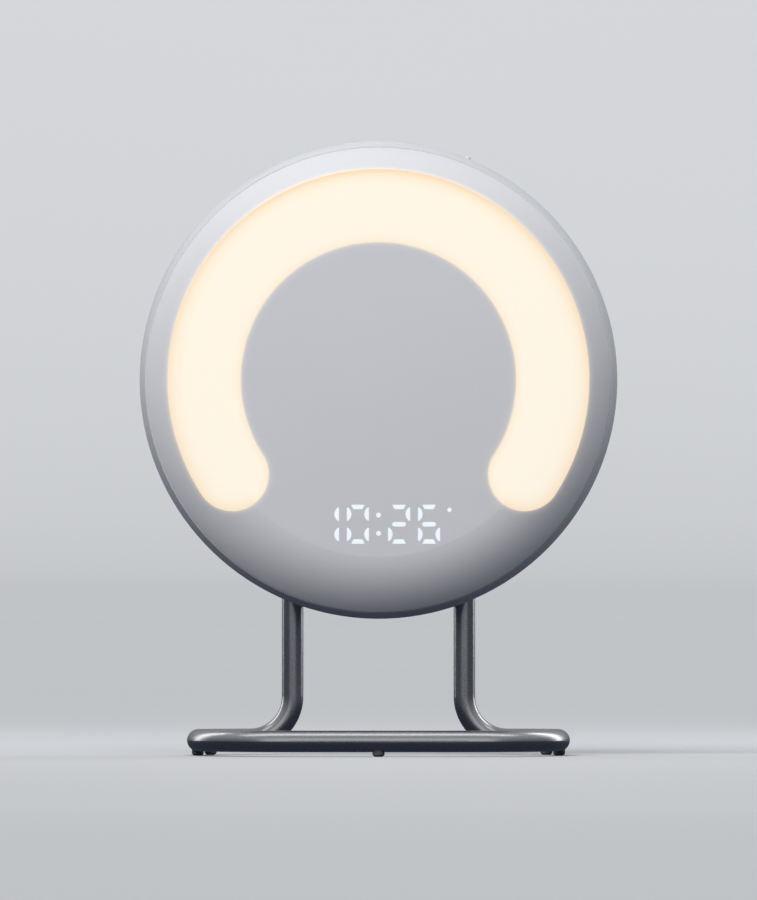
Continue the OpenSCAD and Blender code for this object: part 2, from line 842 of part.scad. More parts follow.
module speaker_frame() {
  r = speaker_r;
  color("dimgray") on_head() translate([0, 0, flange_z]) rotate_extrude()
    polygon([[r - 5.5, 0], [r, 0], [r, 1], [r - 2.6, 1], [magnet_r, basket_h], [magnet_r - 3, basket_h],
      [magnet_r - 3, basket_h - 1], [magnet_r - 0.5, basket_h - 1], [r - 5.5, 1]]);
}

module speaker_cone() {
  rim = speaker_r - 3.5;
  neck = 6;
  cap_r = 7.6;
  color("black") on_head() translate([0, 0, flange_z]) rotate_extrude() {
    polygon([[rim, -0.5], [rim, 0], [rim - 5.1, 0], [neck, 6.2], [neck, 5.6], [rim - 5.5, -0.5]]);
    intersection() {
      translate([0, 9.5]) difference() {
        circle(r = cap_r);
        circle(r = cap_r - 0.6);
      }
      translate([0, 1]) square([neck + 0.2, 5]);
    }
  }
}

module speaker_magnet() {
  color("gray") on_head() translate([0, 0, flange_z + basket_h]) cylinder(r = magnet_r, h = magnet_h);
}

// ---- power inlet ----
module dc_jack() {
  z = inlet_floor + inlet_floor_t;
  color("dimgray") on_head() translate([inlet_at[0], inlet_at[1], 0]) {
    difference() {
      union() {
        cylinder_between(jack_snout_d / 2, inlet_floor, z + eps);
        translate([-jack_body[0] / 2, -jack_body[1] / 2, z]) cube(jack_body);
      }
      cylinder_between(jack_bore_d / 2, inlet_floor - 1, z + jack_hole_l);
    }
    cylinder_between(jack_pin_d / 2, inlet_floor + 0.5, z + jack_hole_l + eps);
  }
}

// ---- stand ----
module leg_places() {
  for (s = [-1, 1]) translate([s * leg_x, rear_y, 0]) children();
}

module stand_bracket() {
  color("darkgray") difference() {
    union() {
      leg_places() translate([0, 0, head_z - leg_top - socket_l]) cylinder(d = socket_d, h = socket_l + 2);
      translate([-leg_x, rear_y - web_t / 2, head_z - bracket_y - web_h / 2]) cube([leg_span, web_t, web_h]);
    }
    leg_places() translate([0, 0, head_z - leg_top - socket_l - 1])
      cylinder(d = tube_d + 2 * leg_fit, h = socket_l + 1 + rest_gap);
    leg_places() translate([0, 0, head_z - leg_screw_y]) rotate([90, 0, 0])
      cylinder(d = thread_d, h = socket_d);
    for (s = [-1, 1]) translate([s * bracket_screw_x, rear_y + web_t, head_z - bracket_y])
      rotate([90, 0, 0]) cylinder(d = hole_d, h = 2 * web_t);
  }
}

module bracket_screws() {
  color("silver")
    for (s = [-1, 1]) translate([s * bracket_screw_x, rear_y - web_t / 2, head_z - bracket_y])
      rotate([-90, 0, 0]) screw(web_t + bracket_grip);
}

module leg_screws() {
  color("silver") leg_places() translate([0, -socket_d / 2, head_z - leg_screw_y])
    rotate([-90, 0, 0]) screw(socket_d / 2 - tube_r + tube_wall + leg_screw_past);
}

module tube_run(l, t) {
  linear_extrude(l) tube_section(tube_d, t);
}

module tube_bend(r, t) {
  rotate_extrude(angle = 90) translate([r, 0]) tube_section(tube_d, t);
}

// the right half of the stand's tube with a wall of "t"
module half_stand(t) {
  side_l = base_depth - front_corner_r - rear_corner_r;
  corner_x = loop_x - rear_corner_r;
  bend_x = leg_x + leg_bend_r;
  translate([0, front_y, tube_z]) rotate([0, 90, 0]) tube_run(loop_x - front_corner_r, t);
  translate([loop_x - front_corner_r, front_y + front_corner_r, tube_z]) rotate([0, 0, -90])
    tube_bend(front_corner_r, t);
  translate([loop_x, front_y + front_corner_r, tube_z]) rotate([-90, 0, 0]) tube_run(side_l, t);
  translate([corner_x, rear_y - rear_corner_r, tube_z]) tube_bend(rear_corner_r, t);
  if (corner_x > bend_x)
    translate([bend_x, rear_y, tube_z]) rotate([0, 90, 0]) tube_run(corner_x - bend_x, t);
  translate([bend_x, rear_y, tube_z + leg_bend_r]) rotate([90, 0, 0]) rotate([0, 0, 180])
    tube_bend(leg_bend_r, t);
  translate([leg_x, rear_y, tube_z + leg_bend_r])
    tube_run(head_z - leg_top - tube_z - leg_bend_r, t);
}

module stand_tube() {
  color("slategray") difference() {
    union() {
      half_stand(tube_wall);
      mirror([1, 0, 0]) half_stand(tube_wall);
    }
    leg_places() translate([0, 0, head_z - leg_screw_y]) rotate([90, 0, 0])
      cylinder(d = hole_d, h = tube_d);
    foot_places() translate([0, 0, -1]) cylinder(d = foot_stem_d + 2 * thread_gap, h = 1 + tube_z);
  }
}

module foot_places() {
  corner = [loop_x - rear_corner_r, rear_y - rear_corner_r];
  a = rear_foot_angle;
  translate([0, front_y, 0]) children();
  for (s = [-1, 1]) {
    translate([s * loop_x, front_y + front_corner_r + side_foot_back, 0]) children();
    translate([s * (corner[0] + rear_corner_r * sin(a)), corner[1] + rear_corner_r * cos(a), 0]) children();
  }
}

module feet() {
  ball_r = foot_d * 0.68;
  color("black") {
    difference() {
      foot_places() intersection() {
        translate([0, 0, foot_d * 0.6]) sphere(r = ball_r);
        cylinder(d = foot_d, h = foot_h + foot_lip);
      }
      for (m = [0, 1]) mirror([m, 0, 0]) half_stand(0);
    }
    foot_places() translate([0, 0, foot_h / 2]) cylinder(d = foot_stem_d, h = foot_stem_l);
  }
}

front_cover();
light_window();
light_chassis();
led_board();
leds();
display_block();
segment_lenses();
display_board();
main_board();
board_parts();
board_screws();
rear_housing();
case_screws();
snooze_button();
snooze_spring();
snooze_switch();
snooze_board();
snooze_screws();
side_key();
side_switch();
side_board();
side_screws();
rear_key(0);  // rear_key_1
rear_key(1);  // rear_key_2
rear_key(2);  // rear_key_3
rear_key(3);  // rear_key_4
rear_key(4);  // rear_key_5
key_board();
key_switches();
key_screws();
speaker_grille();
speaker_gasket();
speaker_frame();
speaker_cone();
speaker_magnet();
dc_jack();
stand_bracket();
bracket_screws();
leg_screws();
stand_tube();
feet();
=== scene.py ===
import json
import math

import bmesh
import bpy
from bpy.props import FloatProperty, FloatVectorProperty, PointerProperty, StringProperty
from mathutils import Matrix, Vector


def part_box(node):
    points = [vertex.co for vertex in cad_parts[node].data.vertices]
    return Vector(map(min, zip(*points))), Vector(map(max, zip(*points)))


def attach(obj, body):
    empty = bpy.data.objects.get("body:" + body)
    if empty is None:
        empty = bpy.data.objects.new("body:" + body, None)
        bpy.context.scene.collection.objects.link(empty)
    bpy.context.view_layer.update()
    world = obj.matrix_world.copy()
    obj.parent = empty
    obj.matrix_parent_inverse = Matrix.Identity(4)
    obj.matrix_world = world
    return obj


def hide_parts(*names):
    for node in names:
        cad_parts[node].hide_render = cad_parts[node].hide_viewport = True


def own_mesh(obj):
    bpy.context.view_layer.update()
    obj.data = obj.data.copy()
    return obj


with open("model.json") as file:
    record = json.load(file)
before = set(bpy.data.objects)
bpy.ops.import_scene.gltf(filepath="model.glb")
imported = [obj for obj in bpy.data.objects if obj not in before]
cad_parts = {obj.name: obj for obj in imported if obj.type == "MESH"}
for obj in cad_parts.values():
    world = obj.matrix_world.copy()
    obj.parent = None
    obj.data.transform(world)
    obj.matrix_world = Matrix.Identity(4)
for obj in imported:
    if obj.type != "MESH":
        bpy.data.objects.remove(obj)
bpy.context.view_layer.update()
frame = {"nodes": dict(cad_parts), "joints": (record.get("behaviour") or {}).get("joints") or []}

bl_info = {
    "name": "Sunrise alarm clock",
    "version": (1, 0, 0),
    "blender": (4, 5, 0),
    "location": "View3D > Sidebar > Clock",
    "description": "Finishes for a round lamp clock on a bent tube stand, with its lit digits and a studio stage",
    "category": "Object",
}

SHELL_LOW, SHELL_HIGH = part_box("rear_housing")
HEAD_R = (SHELL_HIGH[0] - SHELL_LOW[0]) / 2
HEAD_Z = SHELL_LOW[2] + HEAD_R
FACE_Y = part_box("front_cover")[0][1]
REAR_KEYS = sorted(name for name in frame["nodes"] if name.startswith("rear_key_"))
MM = 0.001


# ---- node trees written as expressions ----

class Value:
    """The output of a node. Using it in an expression adds the Math nodes for it."""

    def __init__(self, tree, socket):
        self.tree = tree
        self.socket = socket

    def math(self, operation, *others):
        return self.tree.math(operation, self, *others)

    def __add__(self, other):
        return self.math("ADD", other)

    def __sub__(self, other):
        return self.math("SUBTRACT", other)

    def __rsub__(self, other):
        return self.tree.math("SUBTRACT", other, self)

    def __mul__(self, other):
        return self.math("MULTIPLY", other)

    def __truediv__(self, other):
        return self.math("DIVIDE", other)

    def __rtruediv__(self, other):
        return self.tree.math("DIVIDE", other, self)

    def __pow__(self, other):
        return self.math("POWER", other)

    def __neg__(self):
        return self.math("MULTIPLY", -1.0)

    def __abs__(self):
        return self.math("ABSOLUTE")

    def __gt__(self, other):
        return self.math("GREATER_THAN", other)

    def __lt__(self, other):
        return self.math("LESS_THAN", other)

    __radd__ = __add__
    __rmul__ = __mul__

    def at_least(self, other):
        return self.math("MAXIMUM", other)

    def at_most(self, other):
        return self.math("MINIMUM", other)

    def root(self):
        return self.math("SQRT")

    def fade(self, length):
        """1 at zero and below, falling away over the length."""
        return (self.at_least(0.0) * (-1.0 / length)).math("EXPONENT")


class Tree:
    """Adds nodes to one node tree."""

    def __init__(self, node_tree):
        self.node_tree = node_tree

    def node(self, kind, settings=None, inputs=(), out=0):
        """Adds a node: first its settings, then the value or link of each input, by place or name."""
        made = self.node_tree.nodes.new(kind)
        for name, value in (settings or {}).items():
            setattr(made, name, value)
        for place, value in inputs.items() if isinstance(inputs, dict) else enumerate(inputs):
            if isinstance(value, Value):
                self.node_tree.links.new(value.socket, made.inputs[place])
            else:
                made.inputs[place].default_value = value
        return Value(self, made.outputs[out]) if made.outputs else made

    def math(self, operation, *values):
        return self.node("ShaderNodeMath", {"operation": operation}, values)

    def parts(self, vector):
        """The x, y and z of a vector."""
        first = self.node("ShaderNodeSeparateXYZ", inputs=(vector,))
        return [Value(self, socket) for socket in first.socket.node.outputs]

    def vector(self, x=0.0, y=0.0, z=0.0):
        return self.node("ShaderNodeCombineXYZ", inputs=(x, y, z))

    def mix(self, factor, first, second):
        """Between two colours, each a link or three numbers."""
        first, second = (c if isinstance(c, Value) else (*c, 1.0) for c in (first, second))
        return self.node("ShaderNodeMix", {"data_type": "RGBA"}, {0: factor, 6: first, 7: second}, 2)


class Finish(Tree):
    """A material that reads the frame's own coordinates, in millimetres, and ends in a Principled shader."""

    def __init__(self, name):
        self.material = bpy.data.materials.new(name)
        self.material.use_nodes = True
        super().__init__(self.material.node_tree)
        self.node_tree.nodes.clear()
        self.place = self.node("ShaderNodeTexCoord", out="Object")

    def noise(self, size, detail=2.0, vector=None):
        """Soft noise between 0 and 1, its grains about this many millimetres across."""
        return self.node(
            "ShaderNodeTexNoise", {"noise_dimensions": "3D"},
            {"Vector": vector or self.place, "Scale": 1 / (size * MM), "Detail": detail, "Roughness": 0.5})

    def cells(self, size, out="Distance"):
        """Random cells about this many millimetres across."""
        return self.node(
            "ShaderNodeTexVoronoi", {"feature": "F1"}, {"Vector": self.place, "Scale": 1 / (size * MM)}, out)

    def stretch(self, x=1.0, y=1.0, z=1.0):
        """The coordinates drawn out along each axis by this much."""
        return self.node("ShaderNodeVectorMath", {"operation": "MULTIPLY"}, (self.place, (1 / x, 1 / y, 1 / z)))

    def bump(self, height, depth, strength=1.0, under=None):
        """Raises the surface by up to this many millimetres."""
        inputs = {"Strength": strength, "Distance": depth * MM, "Height": height}
        if under:
            inputs["Normal"] = under
        return self.node("ShaderNodeBump", inputs=inputs)

    def surface(self, **sockets):
        """Ends the material. Names are the shader's own, with _ for a space."""
        inputs = {name.replace("_", " "): value for name, value in sockets.items()}
        shader = self.node("ShaderNodeBsdfPrincipled", inputs=inputs)
        self.node("ShaderNodeOutputMaterial", inputs={"Surface": shader})
        return self.material


def lighter(rgb, by):
    """A colour times a number, kept within 1."""
    return tuple(min(1.0, c * by) for c in rgb)


# ---- settings ----

class LampSettings(bpy.types.PropertyGroup):
    glow: FloatVectorProperty(
        name="Glow", description="Colour of the lit window", subtype="COLOR", size=3, default=(0.93, 0.855, 0.715))
    fringe: FloatVectorProperty(
        name="Fringe", description="Warmer colour along the window's outer edge", subtype="COLOR", size=3,
        default=(0.90, 0.65, 0.40))
    radius: FloatProperty(
        name="Middle radius", description="Radius of the middle of the C", default=72.75 * MM, unit="LENGTH")
    width: FloatProperty(name="Width", description="Width of the C", default=30.5 * MM, unit="LENGTH")
    end: FloatProperty(
        name="End", description="Angle from the top to the middle of each rounded end",
        default=math.radians(122.9), subtype="ANGLE")


class DisplaySettings(bpy.types.PropertyGroup):
    time_shown: StringProperty(name="Time shown", description="Digits and a colon", default="10:26")
    glow: FloatVectorProperty(
        name="Glow", description="Colour of the lit strokes", subtype="COLOR", size=3, default=(0.86, 0.94, 1.0))
    height: FloatProperty(name="Digit height", description="Height of a digit", default=16.3 * MM, unit="LENGTH")
    width: FloatProperty(name="Digit width", description="Width of a digit", default=9.2 * MM, unit="LENGTH")
    pitch: FloatProperty(name="Pitch", description="From one digit to the next", default=12.5 * MM, unit="LENGTH")
    reach: FloatProperty(
        name="Colon reach", description="From the colon to the digits beside it", default=8.6 * MM, unit="LENGTH")
    stroke: FloatProperty(name="Stroke", description="Width of a stroke", default=1.9 * MM, unit="LENGTH")
    gap: FloatProperty(
        name="Gap", description="Gap between an upper and a lower stroke", default=2.5 * MM, unit="LENGTH")
    clear: FloatProperty(
        name="Clear end", description="Left dark at each end of a stroke", default=0.2 * MM, precision=6, unit="LENGTH")
    colon_dot: FloatProperty(
        name="Colon dot", description="Diameter of the colon's dots", default=2.0 * MM, precision=6, unit="LENGTH")
    status_dot: FloatProperty(
        name="Status dot", description="Diameter of the dot after the digits", default=1.8 * MM, precision=6,
        unit="LENGTH")
    status_gap: FloatProperty(
        name="Status gap", description="From the last digit's side to the status dot", default=3.9 * MM, unit="LENGTH")
    drop: FloatProperty(
        name="Drop", description="From the middle of the face down to the digits", default=60.3 * MM, unit="LENGTH")
    layer: FloatProperty(
        name="Layer", description="Thickness of the lit layer", default=0.03 * MM, precision=6, unit="LENGTH")
    dome: FloatProperty(
        name="Dome radius", description="Radius of the domed face", default=1400 * MM, unit="LENGTH")


class BodySettings(bpy.types.PropertyGroup):
    plastic: FloatVectorProperty(
        name="Plastic", description="Colour of the moulded shells", subtype="COLOR", size=3,
        default=(0.66, 0.67, 0.70))
    tube: FloatVectorProperty(
        name="Tube", description="Colour of the stand's tube", subtype="COLOR", size=3, default=(0.40, 0.40, 0.415))
    ink: FloatVectorProperty(
        name="Ink", description="Colour of the signs on the rear keys", subtype="COLOR", size=3,
        default=(0.10, 0.10, 0.11))
    ink_line: FloatProperty(
        name="Ink line", description="Width of a sign's lines", default=0.42 * MM, precision=6, unit="LENGTH")
    ink_layer: FloatProperty(
        name="Ink layer", description="Thickness of the ink", default=0.03 * MM, precision=6, unit="LENGTH")
    board: FloatVectorProperty(
        name="Boards", description="Colour of the lacquered boards", subtype="COLOR", size=3,
        default=(0.02, 0.16, 0.07))


class StageSettings(bpy.types.PropertyGroup):
    distance: FloatProperty(
        name="Camera distance", description="From the camera to the clock", default=10.0, unit="LENGTH")
    camera_height: FloatProperty(
        name="Camera height", description="Height of the level camera", default=127.7 * MM, unit="LENGTH")
    view_height: FloatProperty(
        name="View height", description="Height of the frame at the clock", default=376.2 * MM, unit="LENGTH")
    floor: FloatVectorProperty(
        name="Floor", description="Colour of the floor and the wall", subtype="COLOR", size=3,
        default=(0.55, 0.56, 0.58))
    floor_radius: FloatProperty(
        name="Floor radius", description="Where the floor starts to turn up", default=14.0, unit="LENGTH")
    cove: FloatProperty(name="Cove", description="Radius of the turn", default=4.0, unit="LENGTH")
    wall: FloatProperty(name="Wall", description="Height of the wall above the turn", default=2.0, unit="LENGTH")
    daylight: FloatProperty(
        name="Daylight", description="Brightness of the room", default=0.50, min=0.0)
    above: FloatVectorProperty(
        name="Above", description="Colour of the room above", subtype="COLOR", size=3, default=(0.93, 0.965, 1.0))
    below: FloatVectorProperty(
        name="Below", description="Colour of the room below", subtype="COLOR", size=3, default=(0.085, 0.10, 0.15))
    key: FloatProperty(
        name="Key light", description="Strength of the broad light in front and above", default=2.80, min=0.0)
    key_spread: FloatProperty(
        name="Key spread", description="Angle that the key light fills", default=math.radians(60), subtype="ANGLE")


# ---- finishes ----

def moulded_plastic(name, rgb, roughness=0.42, grain=0.30, depth=0.012, **extra):
    """Satin plastic from a spark-eroded mould, with faint flow marks."""
    f = Finish(name)
    flow = f.noise(34, detail=3)
    pores = f.noise(grain, detail=1)
    speckle = f.noise(1.6, detail=2)
    tint = f.mix(flow * 0.55 + speckle * 0.45, lighter(rgb, 0.965), lighter(rgb, 1.03))
    normal = f.bump(flow, 0.05, 0.35, under=f.bump(pores, depth, 0.8))
    return f.surface(
        Base_Color=tint, Roughness=roughness + (flow - 0.5) * 0.10 + (speckle - 0.5) * 0.07,
        Normal=normal, Specular_IOR_Level=0.45, **extra)


def lamp_distance(f, lamp):
    """How far a point lies outside the C's edge, in millimetres, and how far it is from the head's middle."""
    x, _, z = f.parts(f.place)
    x = abs(x * 1000)
    z = (z - HEAD_Z) * 1000
    radius, half, end = lamp.radius / MM, lamp.width / MM / 2, lamp.end
    reach = (x * x + z * z).root()
    band = abs(reach - radius)
    tip = ((x - radius * math.sin(end)) ** 2.0 + (z - radius * math.cos(end)) ** 2.0).root()
    past_end = (x * -math.cos(end) + z * math.sin(end)) < 0.0
    away = band * (1.0 - past_end) + tip * past_end
    return away - half, reach, z


def face_plastic(name, rgb, lamp):
    """The front cover's plastic, with the light that soaks into it beside the window."""
    f = Finish(name)
    flow = f.noise(34, detail=3)
    pores = f.noise(0.28, detail=1)
    speckle = f.noise(1.6, detail=2)
    tint = f.mix(flow * 0.55 + speckle * 0.45, lighter(rgb, 0.97), lighter(rgb, 1.025))
    away, _, _ = lamp_distance(f, lamp)
    glow = f.mix(away.fade(0.7) * 0.30, (0.0, 0.0, 0.0), tuple(lamp.fringe))
    normal = f.bump(flow, 0.05, 0.30, under=f.bump(pores, 0.010, 0.8))
    return f.surface(
        Base_Color=tint, Roughness=0.40 + (flow - 0.5) * 0.10 + (speckle - 0.5) * 0.06, Normal=normal,
        Specular_IOR_Level=0.45, Emission_Color=glow, Emission_Strength=1.0)


def lit_window(name, lamp):
    """Frosted plastic lit from behind, warmer towards its outer edge."""
    f = Finish(name)
    away, reach, z = lamp_distance(f, lamp)
    haze = f.noise(9, detail=2)
    frost = f.noise(0.35, detail=1)
    outer = (reach > lamp.radius / MM) * 1.0
    top = (z / (HEAD_R / MM)).at_least(0.0)
    inside = -away - 0.8
    edge = inside.fade(2.4) * outer * (top * 0.45 + 0.55) + (inside + 0.8).fade(1.4) * (1.0 - outer) * 0.5
    glow = f.mix(edge + (haze - 0.5) * 0.05, tuple(lamp.glow), tuple(lamp.fringe))
    return f.surface(
        Base_Color=f.mix(haze, (0.075, 0.073, 0.07), (0.085, 0.083, 0.08)), Roughness=0.55 + frost * 0.1,
        Normal=f.bump(frost, 0.008, 0.6), Emission_Color=glow, Emission_Strength=1.0, Specular_IOR_Level=0.15)


def lit_strokes(name, display):
    """Light of the display coming through the thin skin of the face."""
    f = Finish(name)
    haze = f.noise(2.4, detail=2)
    glow = f.mix(haze, lighter(display.glow, 0.93), tuple(display.glow))
    return f.surface(
        Base_Color=f.mix(haze, (0.10, 0.11, 0.12), (0.12, 0.13, 0.14)), Roughness=0.45 + haze * 0.1,
        Emission_Color=glow, Emission_Strength=0.92)


def clear_lens(name, display):
    f = Finish(name)
    swirl = f.noise(1.2, detail=3)
    # Painted glow: every lens gives off a share of the display's light, lit segment and dark alike.
    return f.surface(
        Base_Color=f.mix(swirl, (0.72, 0.82, 0.90), (0.80, 0.88, 0.95)), Roughness=0.16 + swirl * 0.12,
        Emission_Color=f.mix(swirl, lighter(display.glow, 0.5), lighter(display.glow, 0.6)), Emission_Strength=0.6)


def led_gel(name, lamp):
    """Yellow phosphor gel in a white cup."""
    f = Finish(name)
    grain = f.cells(0.25)
    return f.surface(
        Base_Color=f.mix(grain, (0.93, 0.76, 0.22), (0.98, 0.88, 0.42)), Roughness=0.22 + grain * 0.2,
        Normal=f.bump(grain, 0.02, 0.5), Emission_Color=f.mix(grain, tuple(lamp.fringe), tuple(lamp.glow)),
        Emission_Strength=0.8)


def circuit_board(name, rgb, track):
    """Lacquered board with tracks showing through, in a square grid of runs."""
    f = Finish(name)
    runs = f.node(
        "ShaderNodeTexBrick", {"offset": 0.37, "squash": 2.0, "squash_frequency": 3},
        {"Vector": f.place, "Scale": 1 / (5.0 * MM), "Mortar Size": 0.07, "Mortar Smooth": 0.3, "Bias": 0.0,
         "Color1": (0.0, 0.0, 0.0, 1.0), "Color2": (0.05, 0.05, 0.05, 1.0), "Mortar": (1.0, 1.0, 1.0, 1.0)}, "Fac")
    weave = f.noise(0.6, detail=2)
    tint = f.mix(runs * 0.8, f.mix(weave, lighter(rgb, 0.9), lighter(rgb, 1.1)), track)
    return f.surface(
        Base_Color=tint, Roughness=0.30 + weave * 0.12, Normal=f.bump(runs, 0.03, 0.7, under=f.bump(weave, 0.01, 0.5)),
        Coat_Roughness=0.15, Coat_Weight=0.3)


def plain_metal(name, rgb, roughness, metallic=1.0, grain=0.4, depth=0.01, scratches=0.5):
    """Metal with a fine grain, faint clouding and short scratches."""
    f = Finish(name)
    cloud = f.noise(14, detail=3)
    pits = f.noise(grain, detail=2)
    lines = f.noise(1.1, detail=2, vector=f.stretch(12, 1, 1))
    tint = f.mix(cloud * 0.6 + pits * 0.4, lighter(rgb, 0.9), lighter(rgb, 1.08))
    normal = f.bump(lines, depth, scratches * 0.6, under=f.bump(pits, depth, 0.7))
    return f.surface(
        Base_Color=tint, Metallic=metallic, Roughness=roughness + (cloud - 0.5) * 0.12 + (lines - 0.5) * 0.08,
        Normal=normal)


def gunmetal(name, rgb):
    """Satin lacquer with fine flakes over steel tube."""
    f = Finish(name)
    flakes = f.cells(0.12, out="Color")
    shade = f.parts(flakes)[0]
    cloud = f.noise(22, detail=3)
    orange_peel = f.noise(1.3, detail=1)
    tint = f.mix(shade * 0.4 + cloud * 0.6, lighter(rgb, 0.94), lighter(rgb, 1.06))
    normal = f.bump(orange_peel, 0.004, 0.3, under=f.bump(shade, 0.0006, 0.4))
    return f.surface(
        Base_Color=tint, Metallic=1.0, Roughness=0.28 + (cloud - 0.5) * 0.04 + (shade - 0.5) * 0.04,
        Normal=normal)


def soft_matte(name, rgb, grain, depth, roughness=0.85):
    """Rubber, foam or paper: open cells or fibres and a dry surface."""
    f = Finish(name)
    pores = f.cells(grain)
    dust = f.noise(6, detail=3)
    tint = f.mix(dust, lighter(rgb, 0.75), lighter(rgb, 1.35))
    # The pits of the cells are painted darker, as shade in them.
    return f.surface(
        Base_Color=f.mix(pores, lighter(rgb, 0.7), tint), Roughness=roughness + (dust - 0.5) * 0.12,
        Normal=f.bump(pores, depth, 0.8), Specular_IOR_Level=0.25)


def give(material, *nodes):
    """Puts a finish on carried-over nodes."""
    for node in nodes:
        thing = frame["nodes"][node]
        for slot in thing.material_slots:
            slot.material = material


WELD = 0.001 * MM
ON_AXIS = 0.01 * MM


def welded_copy(node, name):
    """A closed copy of a node. It keeps its smooth normals, and those on the head's axis are set straight."""
    mesh = frame["nodes"][node].data.copy()
    mesh.name = name
    kept = mesh.attributes.new("kept_normal", "FLOAT_VECTOR", "CORNER").data
    for polygon in mesh.polygons:
        straight = (0.0, math.copysign(1.0, polygon.normal.y), 0.0)
        for corner in polygon.loop_indices:
            x, _, z = mesh.vertices[mesh.loops[corner].vertex_index].co
            on_axis = math.hypot(x, z - HEAD_Z) < ON_AXIS
            kept[corner].vector = straight if on_axis else mesh.corner_normals[corner].vector
    shape = bmesh.new()
    shape.from_mesh(mesh)
    bmesh.ops.remove_doubles(shape, verts=shape.verts, dist=WELD)
    shape.to_mesh(mesh)
    shape.free()
    kept = mesh.attributes["kept_normal"]
    mesh.normals_split_custom_set([corner.vector for corner in kept.data])
    mesh.attributes.remove(kept)
    piece = bpy.data.objects.new(name, mesh)
    bpy.context.scene.collection.objects.link(piece)
    return piece


# ---- lit digits ----

STROKES = {"0": "abcdef", "1": "bc", "2": "abged", "3": "abgcd", "4": "fgbc", "5": "afgcd",
           "6": "afgecd", "7": "abc", "8": "abcdefg", "9": "abcdfg"}
UPRIGHT, FLAT, MIDDLE, DOT = range(4)
COLON_SPREAD = 0.468  # between the colon's dots, as a share of a digit's height
STATUS_RISE = 0.368  # from the digits' middle up to the status dot, as a share of a digit's height
BOW_RADIUS = 0.60  # of an upright stroke's inner side, as a share of its length
END_SLOPE = 2.1  # rise of a flat stroke's slanted ends
STROKE_LIFT = 0.9  # of the lit layer's middle from the face, as a share of its thickness
INK_LIFT = 0.3  # the same for ink on a key


def stroke_places(display):
    """Each lit stroke on the flat face: x, y, kind, turn and size."""
    hours, minutes = display.time_shown.split(":")
    half_w, half_h = display.width / 2, display.height / 2
    upright = (display.height - display.stroke - display.gap) / 2
    side = (upright + display.gap) / 2
    forms = {
        "a": (0.0, half_h, FLAT, math.pi), "d": (0.0, -half_h, FLAT, 0.0), "g": (0.0, 0.0, MIDDLE, 0.0),
        "f": (-half_w, side, UPRIGHT, -math.pi / 2), "e": (-half_w, -side, UPRIGHT, -math.pi / 2),
        "b": (half_w, side, UPRIGHT, math.pi / 2), "c": (half_w, -side, UPRIGHT, math.pi / 2)}
    near, far = display.reach, display.reach + display.pitch
    places = []
    for digit, middle in zip(hours + minutes, (-far, -near, near, far)):
        for letter in STROKES[digit]:
            x, y, kind, turn = forms[letter]
            places.append((middle + x, y - display.drop, kind, turn, 1.0))
    colon = display.height * COLON_SPREAD / 2
    places += [(0.0, way * colon - display.drop, DOT, 0.0, display.colon_dot) for way in (-1, 1)]
    status = (far + half_w + display.status_gap, display.height * STATUS_RISE - display.drop)
    return [*places, (*status, DOT, 0.0, display.status_dot)]


def stroke_lengths(display):
    """The length of an upright stroke, of the top and bottom ones and of the middle one."""
    upright = (display.height - display.stroke - display.gap) / 2 - 2 * display.clear
    across = display.width - 2 * display.stroke
    return upright, across + display.clear, across + 2 * display.clear


def stroke_points(places):
    """One point for each stroke, which carries its kind, turn and size."""
    mesh = bpy.data.meshes.new("lit_digits")
    mesh.from_pydata([(x, y, 0.0) for x, y, *_ in places], [], [])
    for name, kind, column in (("kind", "INT", 2), ("turn", "FLOAT", 3), ("size", "FLOAT", 4)):
        mesh.attributes.new(name, kind, "POINT").data.foreach_set("value", [place[column] for place in places])
    return mesh


def geometry_tree(name, sizes):
    """An empty tree from a mesh to a piece, with an input for each size and one for the material."""
    group = bpy.data.node_groups.new(name, "GeometryNodeTree")
    for title, kind in {"Geometry": "Geometry", **sizes, "Material": "Material"}.items():
        group.interface.new_socket(title, in_out="INPUT", socket_type="NodeSocket" + kind)
    group.interface.new_socket("Geometry", in_out="OUTPUT", socket_type="NodeSocketGeometry")
    tree = Tree(group)
    given = tree.node("NodeGroupInput").socket.node
    return tree, {socket.name: Value(tree, socket) for socket in given.outputs if socket.name}


def finished(tree, geometry, material):
    """Ends a tree with the material on its geometry."""
    tree.node("NodeGroupOutput", inputs=(tree.node("GeometryNodeSetMaterial", inputs={
        "Geometry": geometry, "Material": material}),))
    return tree.node_tree


